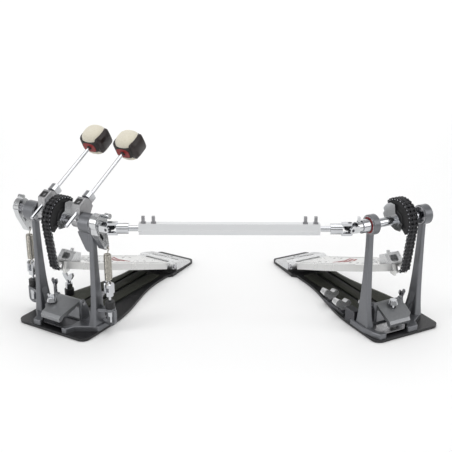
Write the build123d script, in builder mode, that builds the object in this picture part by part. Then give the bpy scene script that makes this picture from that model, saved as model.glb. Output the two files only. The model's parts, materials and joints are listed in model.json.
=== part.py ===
from build123d import *
from dataclasses import dataclass
from math import atan2, cos, degrees, pi, radians, sin
import os

# Double bass drum pedal: a main pedal with two beaters, a remote pedal, and the telescopic
# drive shaft with two universal joints that links them.
#
# Each pedal is drawn in its own frame: u across the pedal (+u towards the other pedal), v towards
# the heel, w up. The beater axle lies along u at v = 0. put() turns that frame into the row frame.

os.makedirs("parts", exist_ok=True)

# ---------------------------------------------------------------- driving dimensions (mm)
AXLE_HEIGHT = 190.0
AXLE_RADIUS = 5.5
RUNNING = 0.05  # radial clearance of a shaft in its bearing

PLATE_THICKNESS = 5.0
TREAD_HEIGHT = 2.5
FRONT_EDGE = -45.0
HEEL_EDGE = 325.0
NECK_HALF = 39.0
HEEL_HALF = 46.0
HEEL_PAD = 7.0

HOUSING_RADIUS = 16.5
BEARING_RADIUS = 13.0
BEARING_WIDTH = 7.0

HINGE_V = 254.0
HINGE_W = 18.0
BOARD_SLOPE = 19.6
BOARD_TOP = 24.0  # height of the footboard's top face over the hinge pin
BOARD_LENGTH = 282.0

CAM_RADIUS = 30.0
CHAIN_RADIUS = 33.2
CHAIN_THICKNESS = 5.6
CHAIN_WIDTH = 15.0
CHAIN_LEAN = 8.0

BEATER_LEAN = 61.0
ROD_OFFSET = 15.5
ROD_RADIUS = 3.1
HEAD_DISTANCE = 166.0

JOINT_GAP = 6.2
JOINT_OUTER = 10.0
JOINT_BOSS = 5.0
TUBE_FLATS = 18.0
DRIVE_ROD_RADIUS = 4.5


@dataclass
class Pedal:
    """Where one pedal stands, and the widths in which the two pedals differ."""

    name: str
    x: float
    y: float
    turn: float
    mirrored: bool
    half_width: float
    outer_tower: float
    inner_tower: float
    outer_housing: tuple
    inner_housing: tuple
    jaw_centre: float
    jaw_angle: float
    jaw_front: float
    clamp_screw: tuple
    spur_top: float
    toes: tuple

    @property
    def frame_centre(self):
        return (self.outer_tower + self.inner_tower) / 2


MAIN = Pedal("main", -267.8, -110.1, -31.3, False, 74.0, -56.0, 66.0, (-68.0, -46.0), (49.5, 71.0),
             4.0, 0.0, -46.0, (-19.0, -19.0), 62.0, (-38.0, -22.0, 22.0, 33.0))
REMOTE = Pedal("remote", 281.2, -120.5, 27.6, True, 66.0, -47.0, 58.0, (-55.5, -39.5), (50.0, 63.0),
               10.0, 13.0, -37.0, (-2.0, -9.0), 48.0, (-20.0, 1.0, 43.0, 57.0))


# ---------------------------------------------------------------- placing
def put(solid, pedal):
    """A part drawn in a pedal's own frame, turned into the row frame."""
    if pedal.mirrored:
        solid = mirror(solid, about=Plane.YZ)
    return solid.moved(Location((pedal.x, pedal.y, 0), (0, 0, pedal.turn)))


def point(pedal, u, v, w):
    """A point of a pedal's own frame in the row frame."""
    a = radians(pedal.turn)
    u = -u if pedal.mirrored else u
    return Vector(pedal.x + u * cos(a) - v * sin(a), pedal.y + u * sin(a) + v * cos(a), w)


def write(name, solid):
    solid.label = name
    export_step(solid, f"parts/{name}.step")


def side(u):
    """A plane across the axle at u, with its origin on the axle: x towards the heel, y up."""
    return Plane(origin=(u, 0, AXLE_HEIGHT), x_dir=(0, 1, 0), z_dir=(1, 0, 0))


def floor_side(u):
    """The same plane with its origin at floor level."""
    return Plane(origin=(u, 0, 0), x_dir=(0, 1, 0), z_dir=(1, 0, 0))


def front(v):
    """A plane facing the drum at v: x along u, y up from the floor."""
    return Plane(origin=(0, v, 0), x_dir=(1, 0, 0), z_dir=(0, -1, 0))


def on_axle(u_low, u_high, radius, bore=0.0):
    """A round piece on the axle, from u_low to u_high."""
    with BuildPart() as piece:
        with BuildSketch(side(u_low)):
            Circle(radius)
            if bore:
                Circle(bore, mode=Mode.SUBTRACT)
        extrude(amount=u_high - u_low)
    return piece.part


def upright(u, v, low, high, radius, bore=0.0):
    """A round piece standing upright at u, v."""
    with BuildPart() as piece:
        with BuildSketch(Plane((u, v, low))):
            Circle(radius)
            if bore:
                Circle(bore, mode=Mode.SUBTRACT)
        extrude(amount=high - low)
    return piece.part


# ---------------------------------------------------------------- base
def plate_outline(half_width, inset=0.0):
    """Half of the base plate's wavy edge, mirrored into a closed wire on the floor plane."""
    wide = half_width - inset
    neck = NECK_HALF - inset
    heel = HEEL_HALF - inset
    nose = FRONT_EDGE + inset
    tail = HEEL_EDGE - inset
    with BuildLine() as edge:
        Line((0, nose), (wide - 14, nose))
        RadiusArc((wide - 14, nose), (wide, nose + 14), -14)
        Line((wide, nose + 14), (wide, 28))
        Bezier((wide, 28), (wide, 100), (neck, 143), (neck, 215))
        Line((neck, 215), (neck, 238))
        Line((neck, 238), (heel, 246))
        Line((heel, 246), (heel - 4, tail - 9))
        RadiusArc((heel - 4, tail - 9), (heel - 13, tail), -9)
        Line((heel - 13, tail), (0, tail))
        mirror(about=Plane.YZ)
    return edge.line


DRUM_KEY_AT = (-60.0, 72.0)
TREADS = ((-66.0, -24.0), (-16.0, 0.0), (8.0, 29.0))  # u ranges of the three ribbed strips
TREAD_START = 52.0
TREAD_END = 226.0


def base_plate(pedal):
    with BuildPart() as plate:
        with BuildSketch() as outline:
            make_face(plate_outline(pedal.half_width))
        extrude(amount=PLATE_THICKNESS)
        with BuildSketch(Plane.XY.offset(PLATE_THICKNESS)):
            make_face(plate_outline(pedal.half_width))
            with Locations((0, 288)):
                Rectangle(120, 88, mode=Mode.INTERSECT)
        extrude(amount=HEEL_PAD - PLATE_THICKNESS)
        for low, high in TREADS:
            with BuildSketch(Plane.XY.offset(PLATE_THICKNESS)):
                make_face(plate_outline(pedal.half_width, 4))
                with Locations(((low + high) / 2, (TREAD_START + TREAD_END) / 2)):
                    Rectangle(high - low, TREAD_END - TREAD_START, mode=Mode.INTERSECT)
            extrude(amount=TREAD_HEIGHT)
        if pedal.name == "main":
            with BuildSketch(Plane.XY.offset(PLATE_THICKNESS)):
                with Locations(DRUM_KEY_AT):
                    Circle(9)
            extrude(amount=TREAD_HEIGHT, mode=Mode.SUBTRACT)
        with BuildSketch():
            with Locations(*spur_places(pedal)):
                Circle(3.6)
            with Locations((pedal.jaw_centre + pedal.clamp_screw[0], pedal.clamp_screw[1])):
                Circle(3.6)
        extrude(amount=PLATE_THICKNESS, mode=Mode.SUBTRACT)
        fillet(plate.edges().group_by(Axis.Z)[0], radius=1.2)
    return plate.part


def spur_places(pedal):
    return ((pedal.outer_tower + 11, 22), (pedal.inner_tower - 9, 22))


def heel_plate(pedal):
    """Wedge-shaped heel plate with the two outer hinge knuckles."""
    with BuildPart() as heel:
        with BuildSketch(floor_side(-44)):
            with BuildLine():
                Polyline((262, 7), (262, 24), (270, 24), (306, 13), (309, 10), (309, 7), close=True)
            make_face()
        extrude(amount=88)
        fillet(heel.edges().filter_by(Axis.X).group_by(Axis.Z)[-1], radius=1.5)
        for low in (-43, 27):
            with BuildSketch(floor_side(low)):
                with Locations((HINGE_V, HINGE_W)):
                    Circle(5.5)
                with Locations((HINGE_V + 4.5, HINGE_W)):
                    Rectangle(9, 9)
            extrude(amount=16)
        with BuildSketch(floor_side(-50)):
            with Locations((HINGE_V, HINGE_W)):
                Circle(2.5)
        extrude(amount=100, mode=Mode.SUBTRACT)
    return heel.part


def hinge_pin():
    with BuildPart() as pin:
        with BuildSketch(floor_side(-45)):
            with Locations((HINGE_V, HINGE_W)):
                Circle(2.5)
        extrude(amount=90)
        for low, high in ((-46.5, -43.2), (43.2, 46.5)):
            with BuildSketch(floor_side(low)):
                with Locations((HINGE_V, HINGE_W)):
                    Circle(4)
            extrude(amount=high - low)
    return pin.part


# ---------------------------------------------------------------- frame
CAST_TOP = 14.0


def foot_casting(pedal):
    """Horseshoe casting: two legs, a rear cross bar, two toes that turn in around the hoop gap."""
    outer = pedal.outer_tower - 9
    inner = pedal.inner_tower + 8
    far_out, out, into, far_in = pedal.toes
    jaw = pedal.jaw_centre
    with BuildPart() as casting:
        with BuildSketch(Plane.XY.offset(PLATE_THICKNESS)):
            with BuildLine():
                Polyline((outer, 30), (outer, -8), (far_out - 6, -28), (far_out, -43), (out, -43),
                         (out - 2, -35), (out - 10, -26), (out - 10, -4), (into + 10, -4), (into + 10, -26),
                         (into + 2, -35), (into, -43), (far_in, -43), (far_in + 6, -28), (inner, -8),
                         (inner, 30), close=True)
            make_face()
        extrude(amount=CAST_TOP - PLATE_THICKNESS)
        fillet(casting.edges().filter_by(Axis.Z), radius=3)
        fillet(casting.edges().group_by(Axis.Z)[-1], radius=2)
        for low in (jaw - 30, jaw + 25):
            with BuildSketch(floor_side(low)):
                with BuildLine():
                    Polyline((-3, CAST_TOP - 3), (-3, 36), (1, JAW_PIVOT_W + 6), (7, JAW_PIVOT_W + 6),
                             (15, 30), (17, CAST_TOP - 3), close=True)
                make_face()
            extrude(amount=5)
        with BuildSketch(floor_side(jaw - 30)):
            with Locations((JAW_PIVOT_V, JAW_PIVOT_W)):
                Circle(3)
        extrude(amount=60, mode=Mode.SUBTRACT)
        with BuildSketch(Plane.XY):
            with Locations(*spur_places(pedal)):
                Circle(3 + RUNNING)
        extrude(amount=40, mode=Mode.SUBTRACT)
    return casting.part


def tower(pedal, centre, inward, housing, spring=None):
    """One upright of the frame with its bearing housing. inward is +1 if the cam lies at +u.

    spring is the u of the return spring that its bracket holds, if it has one.
    """
    lug = pedal.jaw_centre - inward * 30
    foot = inward * min(27, abs(centre - lug) - 1)
    with BuildPart() as post:
        for shift, v, wide, deep, height in (
            (2.5, 2, 15, 32, CAST_TOP),
            (1.0, 1.5, 12, 24, 40),
            (0.3, 0.5, 10.2, 17.5, 82),
            (0.0, 0.0, 9, 14, 130),
            (0.0, 0.0, 9, 13.5, AXLE_HEIGHT),
        ):
            with BuildSketch(Plane((centre + inward * shift, v, height))):
                RectangleRounded(wide, deep, 3)
        loft()
        with BuildSketch(Plane(origin=(0, 4.5, 0), x_dir=(1, 0, 0), z_dir=(0, -1, 0))):
            with BuildLine():
                Line((centre, CAST_TOP), (centre, 70))
                Line((centre, 70), (centre + inward * 4.6, 70))
                Bezier((centre + inward * 4.6, 70), (centre + inward * 7, 34), (centre + foot / 2, 20),
                       (centre + foot, CAST_TOP + 2))
                Line((centre + foot, CAST_TOP + 2), (centre + foot, CAST_TOP))
                Line((centre + foot, CAST_TOP), (centre, CAST_TOP))
            make_face()
        extrude(amount=9)
        with BuildSketch(side(housing[0] + 1)):
            Circle(HOUSING_RADIUS)
        extrude(amount=housing[1] - housing[0] - 2)
        for face, direction in ((housing[0] + 1, -1), (housing[1] - 1, 1)):
            with BuildSketch(side(face)):
                Circle(HOUSING_RADIUS)
            with BuildSketch(side(face + direction)):
                Circle(HOUSING_RADIUS - 1)
            loft()
        if pedal.name == "main" and inward < 0:
            with BuildSketch(front(5)):
                with BuildLine():
                    Polyline((housing[0] + 1, AXLE_HEIGHT - 8), (housing[0] + 1, 175), (40, 174), (42, 168),
                             (54, 146), (58, 143), (centre, 143), (centre, AXLE_HEIGHT - 8), close=True)
                make_face()
            extrude(amount=10)
        with BuildSketch(side(housing[0])):
            Circle(BEARING_RADIUS)
        extrude(amount=housing[1] - housing[0], mode=Mode.SUBTRACT)
    if spring is not None:
        return post.part + spring_bracket(centre, spring)
    return post.part


SPRING_V = 10.0
OUTER_SPRING = -84.0  # u of the two return springs
INNER_SPRING = 86.0
BRACKET_TOP = 44.0


def spring_bracket(centre, eye):
    """Arm from the tower at centre to an eye for the spring's rod, and the curved leg under it."""
    outward = 1 if eye > centre else -1
    with BuildPart() as bracket:
        with BuildSketch(Plane.XY.offset(BRACKET_TOP - 5)):
            with BuildLine():
                Polyline((centre, -6), (eye, SPRING_V - 8), (eye, SPRING_V + 8), (centre, 7), close=True)
            make_face()
            with Locations((eye, SPRING_V)):
                Circle(9)
                Circle(2.4, mode=Mode.SUBTRACT)
        extrude(amount=5)
        with BuildSketch(Plane(origin=(0, SPRING_V + 3, 0), x_dir=(1, 0, 0), z_dir=(0, -1, 0))):
            with BuildLine():
                Line((eye + outward * 8.7, BRACKET_TOP - 3), (eye + outward * 8.7, 22))
                Bezier((eye + outward * 8.7, 22), (eye + outward * 8.7, 10), (eye - outward * 6, 14.5),
                       (centre + outward * 3, 18.5))
            trace(line_width=3.5)
        extrude(amount=6)
    return bracket.part


def bearings(pedal):
    """Sealed rings pressed into the housings: one outer, and one or two inner."""
    out_low, out_high = pedal.outer_housing
    in_low, in_high = pedal.inner_housing
    places = [out_low + 2, in_high - BEARING_WIDTH - 1]
    if pedal.name == "main":
        places.append(in_low + 1)
        places[0] = out_high - BEARING_WIDTH - 2
    with BuildPart() as rings:
        for low in places:
            with BuildSketch(side(low)):
                Circle(BEARING_RADIUS)
                Circle(AXLE_RADIUS + RUNNING, mode=Mode.SUBTRACT)
            extrude(amount=BEARING_WIDTH)
    return rings.part


# ---------------------------------------------------------------- hoop clamp
JAW_PIVOT_V = 4.0
JAW_PIVOT_W = 41.0


def hoop_rest(pedal):
    """Spring-steel plate that the hoop stands on, with the clamp screw's threaded post."""
    low = pedal.toes[1] - 9
    high = pedal.toes[2] + 9
    screw_u = pedal.jaw_centre + pedal.clamp_screw[0]
    screw_v = pedal.clamp_screw[1]
    with BuildPart() as rest:
        with BuildSketch(Plane.XY.offset(9)):
            with BuildLine():
                Polyline((low, -5), (low, -24), (low + 10, -36), (high - 10, -36), (high, -24), (high, -5),
                         close=True)
            make_face()
            with Locations((screw_u, screw_v)):
                Circle(3 + RUNNING, mode=Mode.SUBTRACT)
        extrude(amount=2)
        with BuildSketch(Plane.XY.offset(PLATE_THICKNESS)):
            with Locations((low + 8, -12), (high - 8, -12)):
                Rectangle(10, 10)
            with Locations((screw_u, screw_v)):
                Circle(4.6)
                Circle(3 + RUNNING, mode=Mode.SUBTRACT)
        extrude(amount=4)
    return rest.part


def clamp_jaw(pedal):
    """Upper jaw: a sloping plate with a rounded lip, side ribs and a barrel on the pivot pin."""
    jaw = pedal.jaw_centre
    nose = pedal.jaw_front
    screw_u = jaw + pedal.clamp_screw[0]
    screw_v = pedal.clamp_screw[1]
    with BuildPart() as part:
        with BuildSketch(floor_side(jaw - 27)):
            with BuildLine():
                Polyline((nose, 25), (nose - 1, 31), (nose + 3, 35), (JAW_PIVOT_V - 2, JAW_PIVOT_W + 5),
                         (JAW_PIVOT_V + 3, JAW_PIVOT_W + 3), (JAW_PIVOT_V - 3, JAW_PIVOT_W), (nose + 9, 30),
                         (nose + 5, 25), close=True)
            make_face()
        extrude(amount=54)
        with BuildSketch(Plane.XY.offset(20)):
            with BuildLine():
                Polyline((jaw - 18, -60), (jaw + 19, -60), (jaw + 24, -6), (jaw + 24, 24), (jaw - 24, 24),
                         (jaw - 24, -6), (jaw - 27, -10), (jaw - 27, -27), (jaw - 20, -33), close=True)
            make_face()
        extrude(amount=40, mode=Mode.INTERSECT)
        for low in (jaw - 11, jaw + 14):
            with BuildSketch(floor_side(low)):
                with BuildLine():
                    Polyline((nose + 12, 30), (JAW_PIVOT_V - 2, JAW_PIVOT_W + 2), (JAW_PIVOT_V - 4, 33),
                             (nose + 20, 26), close=True)
                make_face()
            extrude(amount=3)
        with BuildSketch(floor_side(jaw - 24.5)):
            with Locations((JAW_PIVOT_V, JAW_PIVOT_W)):
                Circle(5)
        extrude(amount=49)
        with BuildSketch(floor_side(jaw - 30)):
            with Locations((JAW_PIVOT_V, JAW_PIVOT_W)):
                Circle(3 + RUNNING)
        extrude(amount=60, mode=Mode.SUBTRACT)
        with BuildSketch(Plane.XY):
            with Locations((screw_u, screw_v)):
                Circle(5)
        extrude(amount=60, mode=Mode.SUBTRACT)
    return part.part.rotate(Axis((0, JAW_PIVOT_V, JAW_PIVOT_W), (1, 0, 0)), pedal.jaw_angle)


def jaw_pin(pedal):
    jaw = pedal.jaw_centre
    with BuildPart() as pin:
        with BuildSketch(floor_side(jaw - 31)):
            with Locations((JAW_PIVOT_V, JAW_PIVOT_W)):
                Circle(3)
        extrude(amount=62)
    return pin.part


def jaw_top(pedal):
    """Height of the jaw's upper face at the clamp screw."""
    v = pedal.clamp_screw[1]
    run = JAW_PIVOT_V - 5 - pedal.jaw_front
    rise = JAW_PIVOT_W + 5 - 35
    level = 35 + rise / run * (v - pedal.jaw_front - 3)
    a = radians(pedal.jaw_angle)
    tilt = a + atan2(rise, run)
    height = JAW_PIVOT_W + (v - JAW_PIVOT_V) * sin(a) + (level - JAW_PIVOT_W) * cos(a)
    return height + 8.5 * sin(tilt) / cos(tilt) + 0.4


def clamp_screw(pedal):
    """Screw, domed cup washer and, on the main pedal, a two-winged thumb head."""
    u = pedal.jaw_centre + pedal.clamp_screw[0]
    v = pedal.clamp_screw[1]
    base = jaw_top(pedal)
    with BuildPart() as screw:
        with BuildSketch(Plane((u, v, 6))):
            Circle(3)
        extrude(amount=base - 6 + 7)
        with BuildSketch(Plane((u, v, base))):
            Circle(8.5)
        extrude(amount=7, taper=18)
        fillet(screw.edges().group_by(Axis.Z)[-1], radius=1)
        if pedal.name == "main":
            with BuildSketch(Plane((u, v, base + 7))):
                Circle(2.6)
            extrude(amount=5)
            with BuildSketch(Plane(origin=(u, v - 1.75, base + 9), x_dir=(1, 0, 0), z_dir=(0, 1, 0))):
                with BuildLine():
                    Polyline((-2.6, 4), (2.6, 4), (7, 1), (7.4, -3), (5, -4), (2.4, -1.5), (-2.4, -1.5),
                             (-5, -4), (-7.4, -3), (-7, 1), close=True)
                make_face()
            extrude(amount=3.5)
    return screw.part


def spur_screws(pedal):
    """Two pointed floor spurs with winged heads, screwed through the casting."""
    with BuildPart() as spurs:
        for u, v in spur_places(pedal):
            top = pedal.spur_top
            with BuildSketch(Plane((u, v, 7))):
                Circle(3)
            extrude(amount=top - 7 - 8)
            with BuildSketch(Plane((u, v, 3))):
                Circle(1)
            with BuildSketch(Plane((u, v, 7))):
                Circle(3)
            loft()
            with BuildSketch(Plane(origin=(u, v - 1.5, top - 9), x_dir=(1, 0, 0), z_dir=(0, 1, 0))):
                with BuildLine():
                    Polyline((-3, 3), (3, 3), (6.5, -4), (5.5, -9), (3, -9), (0, -3), (-3, -9), (-5.5, -9),
                             (-6.5, -4), close=True)
                make_face()
            extrude(amount=3)
    return spurs.part


# ---------------------------------------------------------------- cam and chain
def cam_body():
    """Cast cam carrier: a hub with a scalloped side plate on each side of the felt wheel."""
    with BuildPart() as cam:
        with BuildSketch(side(-11)):
            Circle(11)
        extrude(amount=22)
        for low in (-10.5, 7.5):
            with BuildSketch(side(low)):
                with BuildLine():
                    Polyline((3, 25), (13, 25.5), (22, 21), (27, 16), (30.5, 11), (27.5, 7), (30.5, 2),
                             (27, -3), (20, -8), (12, -12), (-2, -16.5), (-14, -15.5), (-18, -9), (-18, -1),
                             (-10, 2), (-1, 6), close=True)
                make_face()
            extrude(amount=3)
        with BuildSketch(side(3)):
            with Locations((14, -5)):
                Rectangle(12, 11)
        extrude(amount=4.5)
        with BuildSketch(side(-12)):
            Circle(AXLE_RADIUS)
        extrude(amount=24, mode=Mode.SUBTRACT)
    return cam.part


def cam_wheel():
    """Felt-lined wheel sector that the chain lies on."""
    with BuildPart() as wheel:
        with BuildSketch(side(-7.4)):
            with BuildLine():
                start, finish = 42, 218
                rim = CenterArc((0, 0), CAM_RADIUS, start, finish - start)
                Line(rim @ 1, (11.2 * cos(radians(finish)), 11.2 * sin(radians(finish))))
                hub = CenterArc((0, 0), 11.2, start, finish - start)
                Line(hub @ 0, rim @ 0)
            make_face()
        extrude(amount=14.8)
        for low in (-7.4, 5.4):
            with BuildSketch(side(low)):
                with BuildLine():
                    pocket = CenterArc((0, 0), CAM_RADIUS - 4, 70, 130)
                    inner = CenterArc((0, 0), 15, 70, 130)
                    Line(pocket @ 0, inner @ 0)
                    Line(pocket @ 1, inner @ 1)
                make_face()
            extrude(amount=2, mode=Mode.SUBTRACT)
    return wheel.part


def chain_wrap():
    """The part of the double chain that lies round the cam."""
    with BuildPart() as chain:
        with BuildSketch(side(-CHAIN_WIDTH / 2)):
            with BuildLine():
                CenterArc((0, 0), CHAIN_RADIUS, 42, 180 + CHAIN_LEAN - 5 - 42)
            trace(line_width=CHAIN_THICKNESS)
        extrude(amount=CHAIN_WIDTH)
    return chain.part


CHAIN_RUN_LENGTH = 74.0
TOE_PIN = (-9.5, 101.5)  # v, w of the pin that ties the chain to the footboard


def chain_run():
    """The straight run of the chain and the links that turn under the toe of the footboard."""
    a = radians(180 + CHAIN_LEAN)
    top = (CHAIN_RADIUS * cos(a), AXLE_HEIGHT + CHAIN_RADIUS * sin(a))
    down = (sin(radians(CHAIN_LEAN)), -cos(radians(CHAIN_LEAN)))
    low = (top[0] + CHAIN_RUN_LENGTH * down[0], top[1] + CHAIN_RUN_LENGTH * down[1])
    with BuildPart() as chain:
        with BuildSketch(floor_side(-CHAIN_WIDTH / 2)):
            with BuildLine():
                Line(top, low)
                TangentArc(low, (TOE_PIN[0] - 2, TOE_PIN[1] - 0.5), tangent=down)
            trace(line_width=CHAIN_THICKNESS)
            with Locations(TOE_PIN):
                Circle(3.4, mode=Mode.SUBTRACT)
        extrude(amount=CHAIN_WIDTH)
    return chain.part


# ---------------------------------------------------------------- shafts
def main_axle():
    """Outer shaft of the main pedal, with a pilot that turns inside the inner shaft."""
    shaft = on_axle(-94, 22, AXLE_RADIUS) + on_axle(22, 36, 3.0) + on_axle(-98, -94, 8)
    return shaft + on_axle(-45.8, -42, 8) + on_axle(-81, -70, 7.5)


def inner_shaft():
    """Inner shaft of the main pedal: carries beater B, the inner rocker and the joint's yoke."""
    with BuildPart() as shaft:
        with BuildSketch(side(23)):
            Circle(AXLE_RADIUS)
        extrude(amount=102 - 11.5 - 23)
        with BuildSketch(side(22)):
            Circle(3 + RUNNING)
        extrude(amount=16, mode=Mode.SUBTRACT)
    return shaft.part


def remote_axle():
    shaft = on_axle(-52, 99 - 11.5, AXLE_RADIUS) + on_axle(-38.8, -20, 7) + on_axle(20, 49, 7.5)
    return shaft + on_axle(63.6, 77.8, 11)


def key_screw(plane, length, head):
    """A square-headed drum-key screw. The plane's origin is under the head, its normal points out."""
    with BuildPart() as screw:
        with BuildSketch(plane.offset(-length)):
            Circle(2.5)
        extrude(amount=length)
        with BuildSketch(plane):
            Circle(4)
        extrude(amount=2)
        with BuildSketch(plane.offset(2)):
            Rectangle(5, 5)
        extrude(amount=head)
    return screw.part


# ---------------------------------------------------------------- beaters
def lean(u):
    """A plane across the axle at u whose y axis runs along the beater rod and x towards the drum side."""
    a = radians(BEATER_LEAN)
    return Plane(origin=(u, 0, AXLE_HEIGHT), x_dir=(0, cos(a), -sin(a)), z_dir=(1, 0, 0))


def rod_plane(u, t):
    """A plane across the beater rod at distance t from the axle, normal along the rod."""
    a = radians(BEATER_LEAN)
    base = Vector(u, 0, AXLE_HEIGHT) + Vector(0, -cos(a), sin(a)) * ROD_OFFSET + Vector(0, sin(a), cos(a)) * t
    return Plane(origin=base, x_dir=(1, 0, 0), z_dir=(0, sin(a), cos(a)))


HUB_HALF = 8.0
HUB_TOP = 33.0
HUB_FACE = 28.0  # distance of the key screw's face from the axle


def beater_hub(u):
    """Clamp casting on the shaft, with the bore for the beater rod."""
    with BuildPart() as hub:
        with BuildSketch(lean(u - HUB_HALF)):
            Circle(10.5)
            with BuildLine():
                Polyline((8, -2), (4, 18), (-4, HUB_TOP), (-20, HUB_TOP), (-HUB_FACE, 27), (-HUB_FACE, 9),
                         (-22, 5), (-9, -4), close=True)
            make_face()
        extrude(amount=2 * HUB_HALF)
        fillet(hub.edges().filter_by(Axis.X), radius=1)
        chamfer(hub.edges().filter_by(lambda e: abs(e.center().X - u) > HUB_HALF - 0.1), length=0.8)
        with BuildSketch(side(u - 20)):
            Circle(AXLE_RADIUS)
        extrude(amount=40, mode=Mode.SUBTRACT)
        with BuildSketch(rod_plane(u, -20)):
            Circle(ROD_RADIUS + RUNNING)
        extrude(amount=80, mode=Mode.SUBTRACT)
        with BuildSketch(key_seat(u, -HUB_FACE - 0.5)):
            Circle(3.6)
        extrude(amount=4.5, mode=Mode.SUBTRACT)
        with BuildSketch(key_seat(u, -HUB_FACE - 0.5)):
            Circle(2.5)
        extrude(amount=10, mode=Mode.SUBTRACT)
    return hub.part


def key_seat(u, x):
    """A plane facing back into the hub from the drum side, at x in the lean plane, 17 along the rod."""
    a = radians(BEATER_LEAN)
    out = Vector(0, -cos(a), sin(a))
    base = Vector(u, 0, AXLE_HEIGHT) + out * -x + Vector(0, sin(a), cos(a)) * 17
    return Plane(origin=base, x_dir=(1, 0, 0), z_dir=-out)


def hub_screw(u):
    """Square-headed key screw, sunk in its seat, that clamps the rod in the hub."""
    a = radians(BEATER_LEAN)
    out = Vector(0, -cos(a), sin(a))
    base = Vector(u, 0, AXLE_HEIGHT) + out * (HUB_FACE - 4) + Vector(0, sin(a), cos(a)) * 17
    plane = Plane(origin=base, x_dir=(1, 0, 0), z_dir=out)
    with BuildPart() as screw:
        with BuildSketch(plane.offset(-5)):
            Circle(2.5)
        extrude(amount=5)
        with BuildSketch(plane):
            Rectangle(4.6, 4.6)
        extrude(amount=3)
    return screw.part


def beater_rod(u):
    """Rod with its memory lock collar, which rests on the hub."""
    with BuildPart() as rod:
        with BuildSketch(rod_plane(u, -27)):
            Circle(ROD_RADIUS)
        extrude(amount=27 + HEAD_DISTANCE - 6)
        chamfer(rod.edges().group_by(Axis.Z)[0], length=0.6)
    return rod.part


def memory_lock(u):
    with BuildPart() as lock:
        with BuildSketch(rod_plane(u, HUB_TOP + 0.2)):
            RectangleRounded(15, 19, 5)
            Circle(ROD_RADIUS, mode=Mode.SUBTRACT)
        extrude(amount=13)
        chamfer(lock.edges().group_by(Axis.Z)[-1], length=1)
    return lock.part


def beater_head(u):
    """Four-sided beater head: two round felt faces and two flat hard faces around the rod."""
    middle = rod_plane(u, HEAD_DISTANCE)
    with BuildPart() as head:
        with BuildSketch(middle.offset(-16)):
            RectangleRounded(36, 38, 9)
        extrude(amount=34)
        with BuildSketch(middle.offset(18)):
            RectangleRounded(36, 38, 9)
        extrude(amount=5, taper=40)
        with BuildSketch(middle.offset(-16)):
            RectangleRounded(36, 38, 9)
        extrude(amount=-5, taper=40)
        with BuildSketch(middle.offset(-13)):
            RectangleRounded(46, 25, 7)
        extrude(amount=28)
        with BuildSketch(middle.offset(-30)):
            Circle(ROD_RADIUS + RUNNING)
        extrude(amount=24, mode=Mode.SUBTRACT)
    return head.part


# ---------------------------------------------------------------- return springs
def rocker(low, thickness, inner):
    """Spring rocker clamped on the shaft; its arm hangs down to the spring."""
    with BuildPart() as arm:
        with BuildSketch(side(low)):
            with Locations((1, 4)):
                Circle(15 if inner else 13)
            with BuildLine():
                Polyline((-13, 0), (-9, -14), (5, -40), (15, -40), (17, -36), (14, -14), (14, 4), close=True)
            make_face()
            with Locations((SPRING_V, ROCKER_PIN)):
                Circle(5.5)
                Circle(2, mode=Mode.SUBTRACT)
            with Locations((0, -18)):
                SlotOverall(13, 4, rotation=-62, mode=Mode.SUBTRACT)
            Circle(AXLE_RADIUS, mode=Mode.SUBTRACT)
        extrude(amount=thickness)
    return arm.part


ROCKER_PIN = -38.0  # below the axle


def spring_body(u):
    """Outer shape of the return spring, from its upper hook to its lower hook."""
    coil = upright(u, SPRING_V, 94, 140, 6.5, 4.5)
    upper_hook = upright(u, SPRING_V, 140, 146.1, 5, 3)
    lower_hook = upright(u, SPRING_V, 88, 94, 3.2, 1.2)
    return coil + upper_hook + lower_hook + upright(u, SPRING_V, 93, 95, 6.5, 1.2)


def spring_rod(u):
    """Threaded rod with a fork that takes the spring's lower hook."""
    fork = upright(u, SPRING_V, 66, 74, 6.5) + upright(u, SPRING_V, 18.5, 70, 2.3)
    with BuildPart() as ears:
        for low in (u - 6.5, u + 3.5):
            with BuildSketch(floor_side(low)):
                with Locations((SPRING_V, 78)):
                    Rectangle(11, 14)
                with Locations((SPRING_V, 85)):
                    Circle(5.5)
            extrude(amount=3)
    return fork + ears.part


def spring_nuts(u):
    """Lock nut and end nut under the bracket."""
    with BuildPart() as nuts:
        with BuildSketch(Plane((u, SPRING_V, 30.5))):
            Circle(6.5)
            Circle(2.3, mode=Mode.SUBTRACT)
        extrude(amount=8.4)
        with BuildSketch(Plane((u, SPRING_V, 19.5))):
            RegularPolygon(6.2, 6)
            Circle(2.3, mode=Mode.SUBTRACT)
        extrude(amount=10.8)
    return nuts.part


def spring_knob(u):
    """Knurled tension knob that stands on the bracket."""
    with BuildPart() as knob:
        with BuildSketch(Plane((u, SPRING_V, BRACKET_TOP + 0.1))):
            Circle(8)
            with PolarLocations(8.2, 14):
                Circle(0.9, mode=Mode.SUBTRACT)
            Circle(2.35, mode=Mode.SUBTRACT)
        extrude(amount=12)
        rim = knob.edges().group_by(Axis.Z)[-1].filter_by(GeomType.CIRCLE).sort_by(SortBy.LENGTH)[-1:]
        chamfer(rim, length=0.4)
    return knob.part


# ---------------------------------------------------------------- footboard
def board_plane(rise=0.0):
    """Plane of the footboard's top face, origin over the hinge, y towards the toe."""
    a = radians(BOARD_SLOPE)
    plane = Plane(origin=(0, HINGE_V, BOARD_TOP), x_dir=(-1, 0, 0), z_dir=(0, sin(a), cos(a)))
    return plane.offset(rise)


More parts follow.
